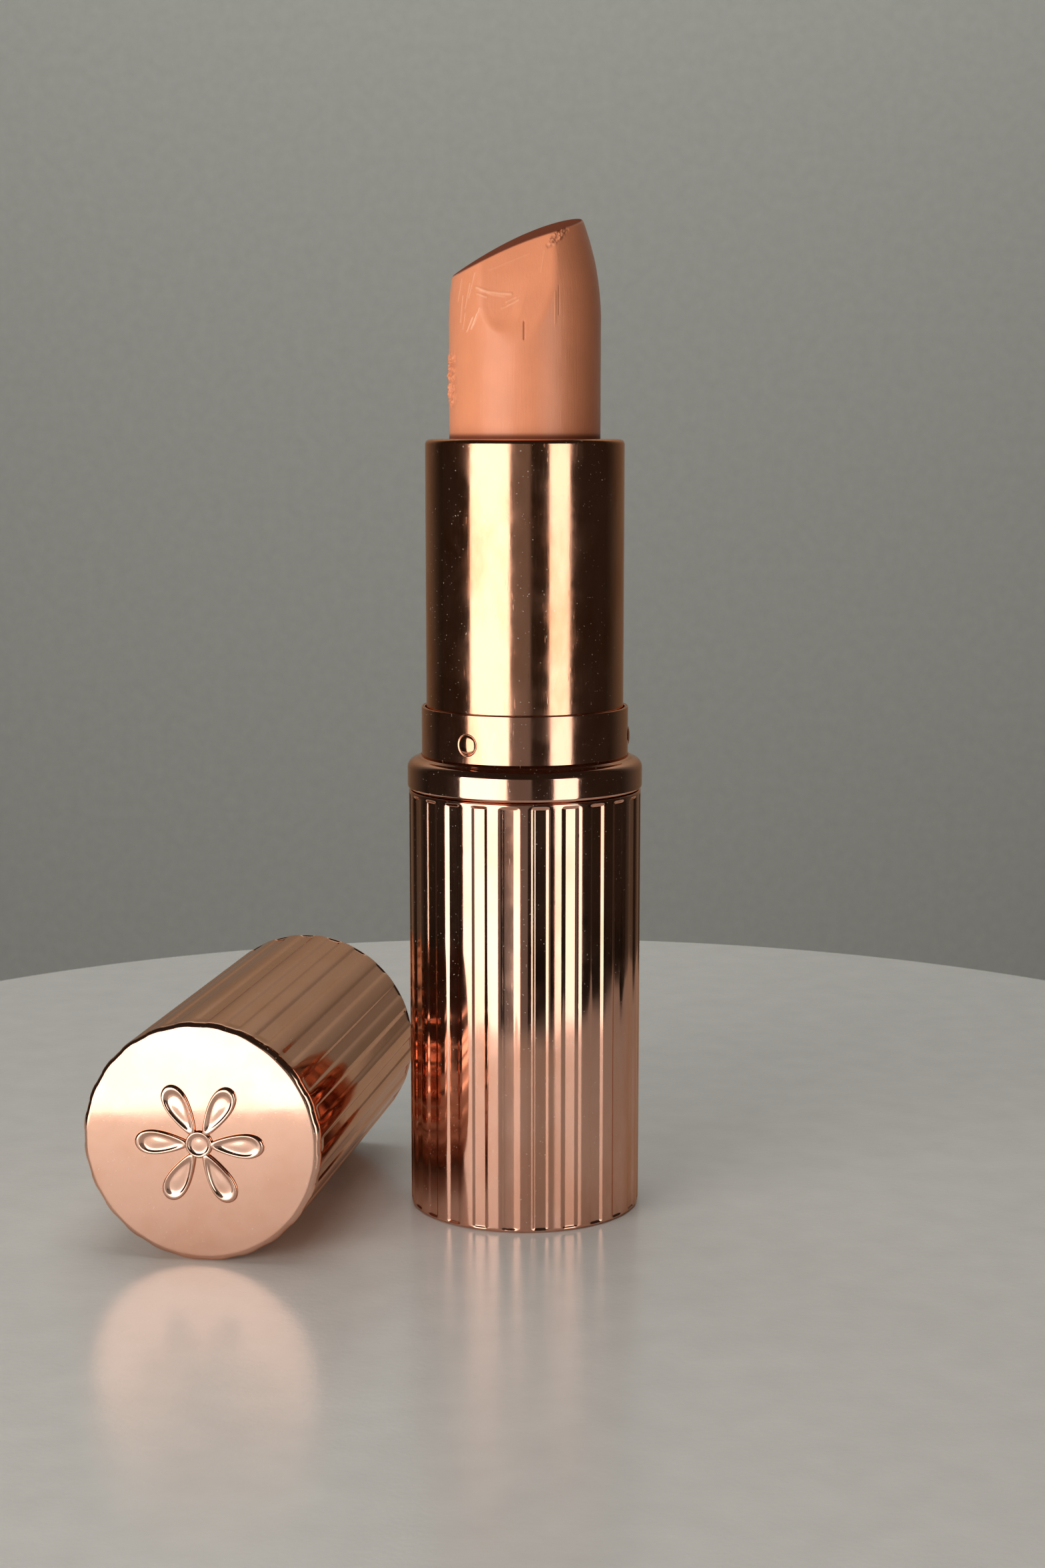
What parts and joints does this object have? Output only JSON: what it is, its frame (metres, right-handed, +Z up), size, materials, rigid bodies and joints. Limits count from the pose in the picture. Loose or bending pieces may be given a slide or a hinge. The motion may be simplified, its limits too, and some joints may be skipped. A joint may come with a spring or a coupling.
{
  "type": "lipstick case",
  "caption": "Fluted metal twist-up lipstick case with its bullet raised, standing on its base with the cap lying beside it.",
  "frame": {"origin": "centre of the base's foot, on the surface the case stands on", "axes": "+Z up along the case's axis, front of the case towards -Y"},
  "size_m": [0.0456, 0.0379, 0.0843],
  "materials": {
    "rose_metal": "polished, rose-gold anodised, fluted",
    "collar_metal": "polished, rose-gold anodised",
    "tube_metal": "mirror polished, rose-gold anodised",
    "emblem_metal": "polished, raised",
    "bullet_wax": "soft satin wax",
    "dark_plastic": "semi-gloss",
    "ivory_plastic": "moulded",
    "liner_plastic": "moulded",
    "label": "printed film, blank",
    "steel": "turned",
    "elastomer": "matt"
  },
  "bodies": {
    "base": {"base_shell": "rose_metal", "bottom_plug": "dark_plastic", "base_label": "label", "base_weight": "steel", "base_liner": "ivory_plastic", "shoulder_ring": "rose_metal", "collar_band": "collar_metal", "guide_tube": "ivory_plastic", "brake_ring": "elastomer", "retaining_ring": "ivory_plastic"},
    "sleeve": {"tube_shell": "tube_metal", "spiral_tube": "ivory_plastic"},
    "carrier": {"elevator_cup": "ivory_plastic", "bullet": "bullet_wax"},
    "cap": {"cap_shell": "rose_metal", "cap_liner": "liner_plastic", "cap_weight": "steel", "cap_emblem": "emblem_metal"}
  },
  "joints": [
    {"name": "sleeve_twist", "type": "hinge", "parent": "base", "child": "sleeve", "pos_m": [0, 0, 0.0455], "axis": [0, 0, 1], "range_deg": [0, 450]},
    {"name": "carrier_lift", "type": "slide", "parent": "base", "child": "carrier", "axis": [0, 0, 1], "range_m": [-0.0206, 0]},
    {"name": "cap_tip", "type": "hinge", "parent": "base", "child": "cap", "pos_m": [-0.0203, 0.018, 0], "axis": [-0.9863, 0.165, 0], "range_deg": [0, 90]}
  ],
  "couplings": [
    {"joint": "carrier_lift", "follows": "sleeve_twist", "m_per_rad": -0.0026101}
  ]
}
